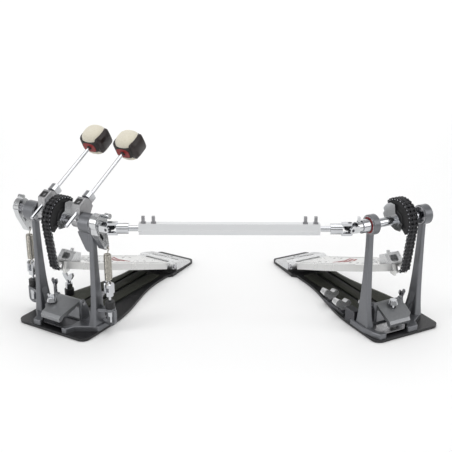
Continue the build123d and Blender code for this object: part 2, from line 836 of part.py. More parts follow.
def board_edge(inset=0.0):
    """Outline of the footboard in its own plane: wide over the arch, narrow at the toe."""
    wide = 37.5 - inset
    toe = 16 - inset
    far = BOARD_LENGTH - inset
    with BuildLine() as edge:
        Line((0, 8 + inset), (wide, 8 + inset))
        Line((wide, 8 + inset), (wide, 90))
        Bezier((wide, 90), (wide - 0.5, 190), (32 - inset, 225), (toe, far - 4))
        RadiusArc((toe, far - 4), (toe - 4, far), -4)
        Line((toe - 4, far), (0, far))
        mirror(about=Plane.YZ)
    return edge.line


def footboard():
    with BuildPart() as board:
        with BuildSketch(board_plane()):
            make_face(board_edge())
        extrude(amount=-3)
        with BuildSketch(board_plane()):
            make_face(board_edge())
            make_face(board_edge(2.6), mode=Mode.SUBTRACT)
            with Locations((0, 0)):
                Rectangle(200, 24, mode=Mode.SUBTRACT)
            with Locations((0, BOARD_LENGTH)):
                Rectangle(17, 30, mode=Mode.SUBTRACT)
        extrude(amount=-12)
        with BuildSketch(board_plane()):
            with Locations((0, 6)):
                Rectangle(52, 14)
        extrude(amount=-3)
        with BuildSketch(floor_side(-26.5)):
            with Locations((HINGE_V, HINGE_W)):
                Circle(5.5)
        extrude(amount=53)
        with BuildSketch(floor_side(-27)):
            with Locations((HINGE_V, HINGE_W)):
                Circle(2.5 + RUNNING)
        extrude(amount=54, mode=Mode.SUBTRACT)
        for low in (-13, 9):
            with BuildSketch(floor_side(low)):
                with BuildLine():
                    Polyline((-9, 114), (6, 108), (-2, 98), (-12, 97), (-13, 106), close=True)
                make_face()
            extrude(amount=4)
        with BuildSketch(floor_side(-13)):
            with Locations(TOE_PIN):
                Circle(2.2)
        extrude(amount=26)
    return board.part


def toe_stop():
    """Folded stop plate on the footboard: a base, a sloping front with a window, and two cheeks."""
    a = radians(BOARD_SLOPE)
    top = BOARD_TOP + (HINGE_V - 14) * sin(a) / cos(a) + 0.1
    base = Plane(origin=(0, 14, top), x_dir=(1, 0, 0), z_dir=(0, sin(a), cos(a)))
    across = Plane(origin=(-15, 14, top), x_dir=(0, cos(a), -sin(a)), z_dir=(1, 0, 0))
    with BuildPart() as stop:
        with BuildSketch(across):
            with BuildLine():
                Polyline((-14, 0), (-5, 16), (8.5, 15), (11, 0), (9, 0), (6.8, 12.8), (-3.6, 13.8),
                         (-10.6, 1.8), (7, 1.8), (7, 0), close=True)
            make_face()
        extrude(amount=30)
        with BuildSketch(base):
            with Locations((0, -9)):
                RectangleRounded(15, 9, 3)
        extrude(amount=12, mode=Mode.SUBTRACT)
        for low in (-15, 13):
            with BuildSketch(across.offset(low + 15)):
                with BuildLine():
                    Polyline((-14, 0), (-5, 16), (8.5, 15), (11, 0), close=True)
                make_face()
            extrude(amount=2)
        with BuildSketch(base):
            with Locations((0, 3)):
                Circle(3)
        extrude(amount=20)
    return stop.part


# ---------------------------------------------------------------- drive shaft
MAIN_JOINT_U = 102.0
REMOTE_JOINT_U = 99.0
MAIN_JOINT = point(MAIN, MAIN_JOINT_U, 0, AXLE_HEIGHT)
REMOTE_JOINT = point(REMOTE, REMOTE_JOINT_U, 0, AXLE_HEIGHT)
DRIVE_LENGTH = (REMOTE_JOINT - MAIN_JOINT).length
DRIVE_DIRECTION = (REMOTE_JOINT - MAIN_JOINT).normalized()
TUBE_START = 46.0
TUBE_END = DRIVE_LENGTH - 46.0
ROD_INSERTION = 110.0


def fork(centre, away, pin, hub_end, hub_radius, bore, boss_bore):
    """Half of a universal joint: two ears on a hub. away points from the joint to the hub.

    With no bore the hub is solid.
    """
    ear = Plane(origin=centre, x_dir=away, z_dir=pin)
    with BuildPart() as piece:
        for low in (JOINT_GAP, -JOINT_OUTER):
            with BuildSketch(ear.offset(low)):
                Circle(JOINT_BOSS)
                with Locations((6.5, 0)):
                    Rectangle(13, 2 * JOINT_BOSS)
            extrude(amount=JOINT_OUTER - JOINT_GAP)
        with BuildSketch(Plane(origin=centre + away * 11.5, x_dir=pin, z_dir=away)):
            Circle(hub_radius)
        extrude(amount=hub_end - 11.5)
        if bore:
            with BuildSketch(Plane(origin=centre + away * 11.5, x_dir=pin, z_dir=away)):
                Circle(bore)
            extrude(amount=hub_end, mode=Mode.SUBTRACT)
        with BuildSketch(ear.offset(-20)):
            Circle(boss_bore)
        extrude(amount=40, mode=Mode.SUBTRACT)
    return piece.part


def spider(centre, loose_pin, tight_pin):
    """Cross of a universal joint. The loose pin has room for the joint's uneven turning."""
    with BuildPart() as cross:
        with BuildSketch(Plane(origin=centre - tight_pin * 9.5, x_dir=loose_pin, z_dir=tight_pin)):
            Circle(2.5)
        extrude(amount=19)
        with BuildSketch(Plane(origin=centre - loose_pin * 9.5, x_dir=tight_pin, z_dir=loose_pin)):
            Circle(2)
        extrude(amount=19)
        with BuildSketch(Plane(origin=centre - tight_pin * 4.5, x_dir=loose_pin, z_dir=tight_pin)):
            Circle(4.2)
        extrude(amount=9)
    return cross.part


def yoke_screw(centre):
    """Key screw on top of a yoke's hub, above a point of the axle."""
    base = centre + Vector(0, 0, 9.1)
    with BuildPart() as screw:
        with BuildSketch(Plane(base)):
            Circle(3.4)
        extrude(amount=2)
        with BuildSketch(Plane(base + Vector(0, 0, 2))):
            Rectangle(4.6, 4.6)
        extrude(amount=6)
    return screw.part


def drive_plane(distance):
    """A plane across the drive shaft, that far from the main universal joint, x up."""
    return Plane(origin=MAIN_JOINT + DRIVE_DIRECTION * distance, x_dir=(0, 0, 1), z_dir=DRIVE_DIRECTION)


def drive_rod(start, finish):
    with BuildPart() as rod:
        with BuildSketch(drive_plane(start)):
            Circle(DRIVE_ROD_RADIUS)
        extrude(amount=finish - start)
    return rod.part


def drive_tube():
    """Hexagonal tube with flats above and below, bored for the two rods."""
    with BuildPart() as tube:
        with BuildSketch(drive_plane(TUBE_START)):
            RegularPolygon(TUBE_FLATS / 2, 6, major_radius=False, rotation=30)
            Circle(DRIVE_ROD_RADIUS + RUNNING, mode=Mode.SUBTRACT)
        extrude(amount=TUBE_END - TUBE_START)
        for distance in SCREW_PLACES:
            with BuildSketch(tube_top(distance)):
                Circle(2.5)
            extrude(amount=-TUBE_FLATS / 2, mode=Mode.SUBTRACT)
    return tube.part


SCREW_PLACES = (TUBE_START + 7, TUBE_START + 23, TUBE_END - 23, TUBE_END - 7)


def tube_top(distance):
    base = MAIN_JOINT + DRIVE_DIRECTION * distance + Vector(0, 0, TUBE_FLATS / 2)
    return Plane(origin=base, x_dir=DRIVE_DIRECTION, z_dir=(0, 0, 1))


def tube_screws():
    screws = [key_screw(tube_top(d), 4.3, 9) for d in SCREW_PLACES]
    return screws[0] + screws[1] + screws[2] + screws[3]


# ---------------------------------------------------------------- stand-leg clamp and drum key
LEG_CLAMP = ((52.0, 67.0), (47.0, 110.0))  # u, v of the two wing screws


def leg_clamp_plate():
    """Clamp bar along the remote pedal's base plate, with two posts and a V jaw for a stand's leg."""
    (u1, v1), (u2, v2) = LEG_CLAMP
    with BuildPart() as bar:
        with BuildSketch(Plane.XY.offset(PLATE_THICKNESS)):
            with BuildLine():
                Polyline((u1 - 8, v1 - 12), (u1 + 9, v1 - 12), (u2 + 9, v2 + 12), (u2 - 8, v2 + 12),
                         close=True)
            make_face()
            with Locations((u1, v1), (u2, v2)):
                Circle(2.5 + RUNNING, mode=Mode.SUBTRACT)
        extrude(amount=5)
        with BuildSketch(Plane.XY.offset(10)):
            with Locations((u1, v1), (u2, v2)):
                Circle(7)
                Circle(2.5 + RUNNING, mode=Mode.SUBTRACT)
        extrude(amount=3)
    return bar.part


def leg_clamp_body():
    """Block beside the remote pedal's inner tower, with the overhanging lip that bears on the leg."""
    inner = REMOTE.inner_tower
    with BuildPart() as block:
        with BuildSketch(floor_side(inner - 1.5)):
            with BuildLine():
                Polyline((19, 14.2), (30.6, 14.2), (30.6, PLATE_THICKNESS), (44, PLATE_THICKNESS), (44, 25),
                         (42, 28), (19, 28), close=True)
            make_face()
        extrude(amount=8.5)
        with BuildSketch(Plane.XY.offset(28)):
            with Locations((inner + 2, 30.5)):
                RectangleRounded(14, 23, 2)
        extrude(amount=2.2)
    return block.part


def leg_clamp_wing(u, v):
    """Wing screw with one broad paddle that leans outwards."""
    with BuildPart() as wing:
        with BuildSketch(Plane((u, v, 6))):
            Circle(2.5)
        extrude(amount=8)
        with BuildSketch(Plane((u, v, 13.2))):
            Circle(6)
        extrude(amount=6)
        blade = Plane(origin=(u - 2, v - 5.5, 18.5), x_dir=(0.82, 0, 0.57), z_dir=(0, 1, 0))
        with BuildSketch(blade):
            with Locations((11.5, 1.5)):
                RectangleRounded(25, 13, 5)
        extrude(amount=14, taper=6)
        with BuildSketch(Plane(origin=(u + 2, v - 5.5, 18.5), x_dir=(-0.82, 0, 0.57), z_dir=(0, 1, 0))):
            with Locations((6, 0)):
                RectangleRounded(17, 11, 4)
        extrude(amount=12, taper=6)
    return wing.part


def drum_key_holder():
    u, v = DRUM_KEY_AT
    with BuildPart() as holder:
        with BuildSketch(Plane((u, v, PLATE_THICKNESS))):
            Circle(8.5)
        extrude(amount=15)
        fillet(holder.edges().group_by(Axis.Z)[-1], radius=1.5)
        with BuildSketch(Plane((u, v, PLATE_THICKNESS + 3))):
            Circle(5 + RUNNING)
        extrude(amount=20, mode=Mode.SUBTRACT)
    return holder.part


def drum_key():
    """Drum key standing in its holder: a square-socket barrel and a two-winged handle."""
    u, v = DRUM_KEY_AT
    with BuildPart() as key:
        with BuildSketch(Plane((u, v, 8.2))):
            Circle(5)
            Rectangle(5.4, 5.4, mode=Mode.SUBTRACT)
        extrude(amount=12)
        with BuildSketch(Plane((u, v, 20.2))):
            Circle(6.5)
        extrude(amount=10)
        with BuildSketch(Plane((u, v, 30.2))):
            Circle(4)
        extrude(amount=6)
        with BuildSketch(Plane(origin=(u, v - 2.25, 38), x_dir=(1, 0, 0), z_dir=(0, 1, 0))):
            with BuildLine():
                Polyline((-4, 4), (4, 4), (8, -1), (12, -8), (10, -13), (6, -12), (0, -5), (-6, -12),
                         (-10, -13), (-12, -8), (-8, -1), close=True)
            make_face()
        extrude(amount=4.5)
    return key.part


# ---------------------------------------------------------------- the assembly
HUB_A = -33.0
HUB_B = 40.0


def both(pedal):
    """The pieces that both pedals have."""
    name = pedal.name
    sprung = name == "main"
    floor_pieces = [base_plate(pedal), drum_key_holder()] if sprung else [base_plate(pedal)]
    write(f"{name}_base_plate", put(Compound(children=floor_pieces), pedal))
    write(f"{name}_heel_plate", put(heel_plate(pedal), pedal))
    write(f"{name}_foot_casting", put(foot_casting(pedal), pedal))
    outer = tower(pedal, pedal.outer_tower, 1, pedal.outer_housing, OUTER_SPRING if sprung else None)
    inner = tower(pedal, pedal.inner_tower, -1, pedal.inner_housing, INNER_SPRING if sprung else None)
    write(f"{name}_outer_tower", put(outer, pedal))
    write(f"{name}_inner_tower", put(inner, pedal))
    pins = [bearings(pedal), hinge_pin(), jaw_pin(pedal)]
    write(f"{name}_bearings_and_pins", put(Compound(children=pins), pedal))
    write(f"{name}_hoop_rest", put(hoop_rest(pedal), pedal))
    write(f"{name}_clamp_jaw", put(clamp_jaw(pedal), pedal))
    write(f"{name}_cam", put(Compound(children=[cam_body(), cam_bolt()]), pedal))
    write(f"{name}_cam_wheel", put(cam_wheel(), pedal))
    write(f"{name}_chain_wrap", put(chain_wrap(), pedal))
    write(f"{name}_chain_run", put(chain_run(), pedal))
    write(f"{name}_footboard", put(footboard(), pedal))
    write(f"{name}_toe_stop", put(toe_stop(), pedal))


def cam_bolt():
    """Clamp bolt that stands out of the cam's hub towards the heel."""
    return key_screw(Plane(origin=(0, 27, AXLE_HEIGHT - 6), x_dir=(1, 0, 0), z_dir=(0, 1, 0)), 6.5, 5)


def rocker_bolt(u):
    """Clamp bolt of a rocker, with a knurled head on the outside."""
    return on_axle(u, u + 9, 4.5).moved(Location((0, 12, 14)))


def axle_direction(pedal):
    """Unit vector along a pedal's axle, from its outer side to its inner side."""
    return (point(pedal, 1, 0, 0) - point(pedal, 0, 0, 0)).normalized()


def joint_pins(axle):
    """Directions of a universal joint's two pins: the drive side's, then the axle side's."""
    drive_pin = Vector(0, 0, 1)
    return drive_pin, axle.cross(drive_pin).normalized()


MAIN_AXIS = axle_direction(MAIN)
REMOTE_AXIS = axle_direction(REMOTE)


def beater(letter, u):
    """Hub with its key screw, rod with its memory lock, and head."""
    write(f"beater_{letter}_hub", put(Compound(children=[beater_hub(u), hub_screw(u)]), MAIN))
    write(f"beater_{letter}_rod", put(Compound(children=[beater_rod(u), memory_lock(u)]), MAIN))
    write(f"beater_{letter}_head", put(beater_head(u), MAIN))


def shafts():
    write("main_axle", put(main_axle(), MAIN))
    write("outer_rocker", put(Compound(children=[rocker(-92, 11, False), rocker_bolt(-101)]), MAIN))
    write("inner_shaft", put(inner_shaft(), MAIN))
    write("inner_rocker", put(Compound(children=[rocker(72.2, 12.8, True), rocker_bolt(85)]), MAIN))
    write("remote_axle", put(remote_axle(), REMOTE))


def springs():
    write("outer_spring", put(spring_body(OUTER_SPRING), MAIN))
    write("inner_spring", put(spring_body(INNER_SPRING), MAIN))
    outer = [spring_rod(OUTER_SPRING), spring_nuts(OUTER_SPRING)]
    inner = [spring_rod(INNER_SPRING), spring_nuts(INNER_SPRING)]
    write("spring_tensioners", put(Compound(children=outer + inner), MAIN))
    write("outer_spring_knob", put(spring_knob(OUTER_SPRING), MAIN))
    write("inner_spring_knob", put(spring_knob(INNER_SPRING), MAIN))


def drive_shaft():
    main_a, main_b = joint_pins(MAIN_AXIS)
    remote_a, remote_b = joint_pins(REMOTE_AXIS)
    near = drive_rod(25, TUBE_START + ROD_INSERTION)
    far = drive_rod(TUBE_END - ROD_INSERTION, DRIVE_LENGTH - 25)
    write("main_yoke", fork(MAIN_JOINT, -MAIN_AXIS, main_b, 16.5, 9, AXLE_RADIUS, 2.5 + RUNNING))
    write("main_spider", spider(MAIN_JOINT, main_a, main_b))
    write("main_drive_rod", fork(MAIN_JOINT, DRIVE_DIRECTION, main_a, 30, 8.5, 0, 3.3) + near)
    write("drive_tube", drive_tube())
    write("tube_screws", tube_screws())
    write("remote_drive_rod", fork(REMOTE_JOINT, -DRIVE_DIRECTION, remote_a, 30, 8.5, 0, 3.3) + far)
    write("remote_spider", spider(REMOTE_JOINT, remote_a, remote_b))
    remote_yoke = fork(REMOTE_JOINT, -REMOTE_AXIS, remote_b, 21, 9, AXLE_RADIUS, 2.5 + RUNNING)
    write("remote_yoke", Compound(children=[remote_yoke, yoke_screw(REMOTE_JOINT - 17 * REMOTE_AXIS)]))


def frame_screws():
    for pedal in (MAIN, REMOTE):
        write(f"{pedal.name}_spur_screws", put(spur_screws(pedal), pedal))
        write(f"{pedal.name}_clamp_screw", put(clamp_screw(pedal), pedal))


def extras():
    write("leg_clamp_plate", put(Compound(children=[leg_clamp_plate(), leg_clamp_body()]), REMOTE))
    write("leg_clamp_wing_a", put(leg_clamp_wing(*LEG_CLAMP[0]), REMOTE))
    write("leg_clamp_wing_b", put(leg_clamp_wing(*LEG_CLAMP[1]), REMOTE))
    write("drum_key", put(drum_key(), MAIN))


both(MAIN)
both(REMOTE)
beater("a", HUB_A)
beater("b", HUB_B)
shafts()
springs()
drive_shaft()
frame_screws()
extras()
print(len(os.listdir("parts")), "parts; drive length", DRIVE_LENGTH, "direction", DRIVE_DIRECTION)
print("joints", MAIN_JOINT, REMOTE_JOINT)
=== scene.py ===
import json
from math import atan2, cos, pi, radians, sin, sqrt, tan

import bmesh
import bpy
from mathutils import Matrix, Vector


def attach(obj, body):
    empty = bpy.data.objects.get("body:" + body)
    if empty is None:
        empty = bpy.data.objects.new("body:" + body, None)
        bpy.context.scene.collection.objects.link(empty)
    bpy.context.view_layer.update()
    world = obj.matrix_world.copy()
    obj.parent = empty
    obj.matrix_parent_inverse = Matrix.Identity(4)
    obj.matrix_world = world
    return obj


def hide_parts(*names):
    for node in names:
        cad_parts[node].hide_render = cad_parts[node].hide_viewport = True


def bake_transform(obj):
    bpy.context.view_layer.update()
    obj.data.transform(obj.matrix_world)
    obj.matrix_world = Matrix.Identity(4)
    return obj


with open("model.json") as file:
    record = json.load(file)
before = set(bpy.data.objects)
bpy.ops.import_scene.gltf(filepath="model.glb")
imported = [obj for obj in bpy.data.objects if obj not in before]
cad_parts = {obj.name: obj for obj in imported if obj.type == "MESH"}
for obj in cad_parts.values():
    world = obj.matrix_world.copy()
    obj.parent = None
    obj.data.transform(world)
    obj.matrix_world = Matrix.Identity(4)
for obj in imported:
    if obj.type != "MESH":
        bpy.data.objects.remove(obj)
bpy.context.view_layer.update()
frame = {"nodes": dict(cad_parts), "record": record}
nodes = frame["nodes"]
AXLE = 190.0


# ---------------------------------------------------------------- the two pedals' own frames
class Pedal:
    """u across (towards the other pedal), v towards the heel, w up, in mm; at() gives metres."""

    def __init__(self, name, x, y, turn, mirrored):
        self.name = name
        self.x = x
        self.y = y
        self.turn = radians(turn)
        self.mirrored = mirrored

    def at(self, u, v, w):
        u = -u if self.mirrored else u
        c = cos(self.turn)
        s = sin(self.turn)
        return Vector((self.x + u * c - v * s, self.y + u * s + v * c, w)) / 1000


MAIN = Pedal("main", -267.8, -110.1, -31.3, False)
REMOTE = Pedal("remote", 281.2, -120.5, 27.6, True)
U = Vector((1, 0, 0))
W = Vector((0, 0, 1))


# ---------------------------------------------------------------- materials
def node_material(name):
    """A new node material: itself, its nodes, its links and its shader."""
    m = bpy.data.materials.new(name)
    m.use_nodes = True
    return m, m.node_tree.nodes, m.node_tree.links, m.node_tree.nodes["Principled BSDF"]


def finish(name, dark, light, rough, metal=0.0, grain=300, bump=0.1, bump_grain=1200,
           stretch=(1, 1, 1), edge=None, coat=0.0, rough_spread=0.12, sheen=0.0, turn=0.0, depth=0.0003):
    """A surface with uneven colour and roughness, fine relief, and lighter edges where edge is given: a
    painted edge highlight, which on the painted castings also stands for paint wear.
    """
    m, n, l, shader = node_material(name)
    where = n.new("ShaderNodeTexCoord")
    place = n.new("ShaderNodeMapping")
    place.inputs["Scale"].default_value = stretch
    place.inputs["Rotation"].default_value = (0, 0, turn)
    l.new(where.outputs["Object"], place.inputs["Vector"])
    broad = n.new("ShaderNodeTexNoise")
    broad.inputs["Scale"].default_value = grain
    broad.inputs["Detail"].default_value = 5
    broad.inputs["Roughness"].default_value = 0.6
    l.new(place.outputs["Vector"], broad.inputs["Vector"])
    colour = n.new("ShaderNodeMix")
    colour.data_type = "RGBA"
    colour.inputs["A"].default_value = (*dark, 1)
    colour.inputs["B"].default_value = (*light, 1)
    l.new(broad.outputs["Fac"], colour.inputs["Factor"])
    result = colour.outputs["Result"]
    # every edge made lighter by the same amount whatever the light: painted edge highlights, and on the
    # painted castings also paint wear
    if edge:
        edge_bevel = n.new("ShaderNodeBevel")
        edge_bevel.samples = 4
        edge_bevel.inputs["Radius"].default_value = 0.0009
        shape = n.new("ShaderNodeNewGeometry")
        turned = n.new("ShaderNodeVectorMath")
        turned.operation = "DOT_PRODUCT"
        l.new(edge_bevel.outputs["Normal"], turned.inputs[0])
        l.new(shape.outputs["True Normal"], turned.inputs[1])
        highlight_and_wear_mask = n.new("ShaderNodeMapRange")
        highlight_and_wear_mask.inputs["From Min"].default_value = 0.985
        highlight_and_wear_mask.inputs["From Max"].default_value = 0.85
        highlight_and_wear_mask.inputs["To Max"].default_value = 0.75
        l.new(turned.outputs["Value"], highlight_and_wear_mask.inputs["Value"])
        rim = n.new("ShaderNodeMix")
        rim.data_type = "RGBA"
        rim.inputs["B"].default_value = (*edge, 1)
        l.new(highlight_and_wear_mask.outputs["Result"], rim.inputs["Factor"])
        l.new(result, rim.inputs["A"])
        result = rim.outputs["Result"]
    l.new(result, shader.inputs["Base Color"])
    gloss = n.new("ShaderNodeMapRange")
    gloss.inputs["To Min"].default_value = max(0.02, rough - rough_spread)
    gloss.inputs["To Max"].default_value = rough + rough_spread
    l.new(broad.outputs["Fac"], gloss.inputs["Value"])
    l.new(gloss.outputs["Result"], shader.inputs["Roughness"])
    fine = n.new("ShaderNodeTexNoise")
    fine.inputs["Scale"].default_value = bump_grain
    fine.inputs["Detail"].default_value = 4
    l.new(place.outputs["Vector"], fine.inputs["Vector"])
    relief = n.new("ShaderNodeBump")
    relief.inputs["Strength"].default_value = bump
    relief.inputs["Distance"].default_value = depth
    l.new(fine.outputs["Fac"], relief.inputs["Height"])
    l.new(relief.outputs["Normal"], shader.inputs["Normal"])
    shader.inputs["Metallic"].default_value = metal
    shader.inputs["Coat Weight"].default_value = coat
    shader.inputs["Coat Roughness"].default_value = 0.15
    if sheen:
        shader.inputs["Sheen Weight"].default_value = sheen
        shader.inputs["Sheen Roughness"].default_value = 0.6
    return m


# The edge colours given below are painted edge highlights, lighter than the surface on every edge; on the
# painted castings they also stand for paint wear.
casting = finish("grey_casting_paint", (0.15, 0.155, 0.165), (0.21, 0.215, 0.23), 0.36, 0.8,
                 500, 0.3, 2600, edge=(0.42, 0.43, 0.45), coat=0.1)
black_paint = finish("black_base_paint", (0.008, 0.008, 0.009), (0.018, 0.018, 0.02), 0.42, 0.2,
                     400, 0.3, 2400, edge=(0.05, 0.05, 0.055), coat=0.1)
dark_casting = finish("dark_casting", (0.05, 0.052, 0.058), (0.1, 0.1, 0.11), 0.34, 0.8,
                      500, 0.3, 2200, edge=(0.34, 0.34, 0.36))
bright = finish("bright_aluminium", (0.6, 0.61, 0.62), (0.76, 0.76, 0.76), 0.3, 0.75, 250, 0.12, 1800,
                edge=(0.88, 0.88, 0.88))
tube_metal = finish("drawn_aluminium", (0.62, 0.63, 0.64), (0.74, 0.75, 0.76), 0.3, 0.7, 60, 0.12, 900,
                    stretch=(0.04, 1, 1), edge=(0.9, 0.9, 0.9))
board_metal = {}
for pedal in (MAIN, REMOTE):
    board_metal[pedal.name] = finish(f"board_aluminium_{pedal.name}", (0.63, 0.63, 0.62), (0.72, 0.72, 0.71),
                                     0.3, 0.8, 110, 0.06, 1400, stretch=(1, 0.05, 0.05),
                                     turn=-pedal.turn, edge=(0.93, 0.93, 0.92))
chrome = finish("chrome_plate", (0.5, 0.51, 0.53), (0.64, 0.65, 0.67), 0.12, 1.0,
                90, 0.05, 500, rough_spread=0.05)
steel = finish("turned_steel", (0.36, 0.36, 0.38), (0.52, 0.52, 0.54), 0.26, 1.0, 300, 0.15, 1500,
               edge=(0.7, 0.7, 0.72))
screw_steel = finish("dark_screw_steel", (0.2, 0.2, 0.21), (0.36, 0.36, 0.37), 0.3, 1.0, 400, 0.15, 1800,
                     edge=(0.5, 0.5, 0.52))
rocker_metal = finish("polished_rocker", (0.52, 0.53, 0.54), (0.68, 0.69, 0.7), 0.2, 1.0, 200, 0.12, 1400,
                      edge=(0.85, 0.85, 0.86))
jaw_steel = finish("jaw_steel", (0.22, 0.226, 0.235), (0.3, 0.306, 0.317), 0.36, 0.7, 200, 0.08, 1500,
                   edge=(0.6, 0.61, 0.62))
spring_wire = finish("spring_wire", (0.42, 0.4, 0.36), (0.62, 0.6, 0.55), 0.24, 1.0, 700, 0.1, 2500)
hub_silver = finish("hub_silver", (0.36, 0.36, 0.37), (0.48, 0.48, 0.49), 0.3, 0.95, 200, 0.12, 1800,
                    edge=(0.75, 0.75, 0.75))
chain_plate = finish("chain_black", (0.004, 0.004, 0.005), (0.014, 0.014, 0.016), 0.26, 0.4, 700, 0.2, 2500,
                     edge=(0.1, 0.1, 0.11))
chain_pin = finish("chain_rivet", (0.38, 0.39, 0.42), (0.6, 0.61, 0.64), 0.3, 1.0, 600, 0.1, 2500)
black_felt = finish("cam_felt", (0.004, 0.004, 0.005), (0.014, 0.014, 0.015), 0.9, 0,
                    1500, 0.8, 3500, sheen=0.1)
cream_felt = finish("beater_felt", (0.62, 0.56, 0.42), (0.84, 0.8, 0.68), 0.95, 0,
                    420, 1.0, 2300, sheen=0.5, depth=0.0007)
hard_face = finish("beater_hard_face", (0.005, 0.004, 0.004), (0.022, 0.009, 0.008), 0.34, 0, 90, 0.12, 800,
                   edge=(0.05, 0.03, 0.03), coat=0.1)
core_black = finish("beater_core", (0.006, 0.007, 0.006), (0.02, 0.014, 0.013), 0.45, 0, 300, 0.25, 1600)
dark_red = finish("dark_red", (0.18, 0.006, 0.006), (0.32, 0.014, 0.012), 0.45, 0, 300, 0.2, 1500)
black_plastic = finish("black_plastic", (0.01, 0.01, 0.011), (0.025, 0.025, 0.027), 0.45, 0, 500, 0.3, 2400,
                       edge=(0.06, 0.06, 0.06))
tread = finish("olive_tread", (0.028, 0.03, 0.022), (0.062, 0.065, 0.05), 0.4, 0.5, 260, 0.35, 1800,
               edge=(0.16, 0.165, 0.14))

SLOT_LOOKS = {
    "black_base": black_paint,
    "grey_casting": casting,
    "dark_casting": dark_casting,
    "bright_aluminium": bright,
    "chrome": chrome,
    "steel": steel,
    "spring_steel": jaw_steel,
    "chain_black": chain_plate,
    "felt": cream_felt,
    "black_felt": black_felt,
    "black_plastic": black_plastic,
}
# nodes whose look differs from their slot's, by a part of their name
NODE_LOOKS = {
    "main_footboard": board_metal["main"],
    "remote_footboard": board_metal["remote"],
    "drive_tube": tube_metal,
    "_rocker": rocker_metal,
    "_yoke": rocker_metal,
    "_spider": dark_casting,
    "tube_screws": screw_steel,
    "main_hoop_rest": dark_casting,
    "remote_hoop_rest": hub_silver,
    "leg_clamp_wing": bright,
    "_hub": hub_silver,
}
for part in frame["record"]["subparts"]:
    name = part["node"]
    own = [look for key, look in NODE_LOOKS.items() if key in name]
    look = own[0] if own else SLOT_LOOKS[part["material_slot"]]
    slots = nodes[name].material_slots
    if not slots:
        nodes[name].data.materials.append(look)
    for slot in slots:
        slot.material = look


# ---------------------------------------------------------------- mesh tools
class Shape:
    """Closed solids gathered in a pedal's own coordinates (mm), one material index per solid."""

    def __init__(self, pedal):
        self.pedal = pedal
        self.bm = bmesh.new()
        self.index = 0

    def rings(self, rings, closed=False):
        """Skins a list of point rings, with end caps unless the rings meet in a loop."""
        rows = [[self.bm.verts.new(self.pedal.at(*p)) for p in ring] for ring in rings]
        count = len(rows[0])
        pairs = list(zip(rows, rows[1:])) + ([(rows[-1], rows[0])] if closed else [])
        for a, b in pairs:
            for i in range(count):
                j = (i + 1) % count
                self.face((a[i], a[j], b[j], b[i]))
        if not closed:
            self.face(rows[0][::-1])
            self.face(rows[-1])

    def face(self, corners):
        f = self.bm.faces.new(corners)
        f.material_index = self.index

    def prism(self, outline, origin, ex, ey, depth, inset):
        """A flat outline of (x, y) points along ex and ey, thickened along depth, with broken edges."""
        lift = depth.normalized()
        rim = min(inset, depth.length / 2)
        mid_x = sum(p[0] for p in outline) / len(outline)
        mid_y = sum(p[1] for p in outline) / len(outline)
        rings = []
        levels = ((0, rim), (rim, 0), (depth.length - rim, 0), (depth.length, rim))
        for height, shrink in levels:
            ring = []
            for x, y in outline:
                away = sqrt((x - mid_x) ** 2 + (y - mid_y) ** 2) or 1
                k = 1 - shrink / away
                across = ex * (mid_x + (x - mid_x) * k) + ey * (mid_y + (y - mid_y) * k)
                ring.append(origin + across + lift * height)
            rings.append(ring)
        self.rings(rings)

    def lathe(self, profile, origin, axis, steps):
        """A turned solid: profile is a list of (radius, height along axis)."""
        axis = axis.normalized()
        e1 = axis.orthogonal().normalized()
        e2 = axis.cross(e1)
        rings = []
        turns = [2 * pi * k / steps for k in range(steps)]
        for r, h in profile:
            rings.append([origin + axis * h + (e1 * cos(t) + e2 * sin(t)) * r for t in turns])
        self.rings(rings)

    def tube(self, path, radius, sides):
        """A round wire along a list of points."""
        rings = []
        side = None
        turns = [2 * pi * k / sides for k in range(sides)]
        for i, p in enumerate(path):
            ahead = path[min(i + 1, len(path) - 1)] - path[max(i - 1, 0)]
            ahead.normalize()
            side = side - ahead * side.dot(ahead) if side else ahead.orthogonal()
            side.normalize()
            other = ahead.cross(side)
            rings.append([p + (side * cos(t) + other * sin(t)) * radius for t in turns])
        self.rings(rings)

    def build(self, name, materials, body=None, smooth=35.0):
        """The gathered solids as one object with the given materials, riding on body if it has one."""
        bmesh.ops.recalc_face_normals(self.bm, faces=self.bm.faces)
        mesh = bpy.data.meshes.new(name)
        self.bm.to_mesh(mesh)
        self.bm.free()
        for m in materials:
            mesh.materials.append(m)
        piece = bpy.data.objects.new(name, mesh)
        bpy.context.scene.collection.objects.link(piece)
        bpy.context.view_layer.objects.active = piece
        bpy.ops.object.select_all(action="DESELECT")
        piece.select_set(True)
        bpy.ops.object.shade_smooth_by_angle(angle=radians(smooth))
        if body:
            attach(piece, body)
        return piece


# ---------------------------------------------------------------- chains
CHAIN_R = 33.2  # centre line of the chain on the cam
LEAN = radians(8)  # of the free run from the vertical
PITCH = 6.6
CHAIN_START = radians(42)  # where the chain is fixed on the cam
RUN = 74.0  # length of the free run
HOOK_R = 8.0  # bend round the toe pin
HOOK = 13.0  # length of that bend


def chain_point(s):
    """Point (v, w) of the chain's centre line at the distance s from its fixed end on the cam."""
    end = pi + LEAN
    wrap = CHAIN_R * (end - CHAIN_START)
    if s <= wrap:
        a = CHAIN_START + s / CHAIN_R
        return CHAIN_R * cos(a), AXLE + CHAIN_R * sin(a)
    s -= wrap
    top = Vector((CHAIN_R * cos(end), AXLE + CHAIN_R * sin(end)))
    down = Vector((sin(LEAN), -cos(LEAN)))
    if s <= RUN:
        p = top + down * s
        return p.x, p.y
    s -= RUN
    low = top + down * RUN
    centre = low + Vector((cos(LEAN), sin(LEAN))) * HOOK_R
    a = pi + LEAN + s / HOOK_R
    return centre.x + HOOK_R * cos(a), centre.y + HOOK_R * sin(a)


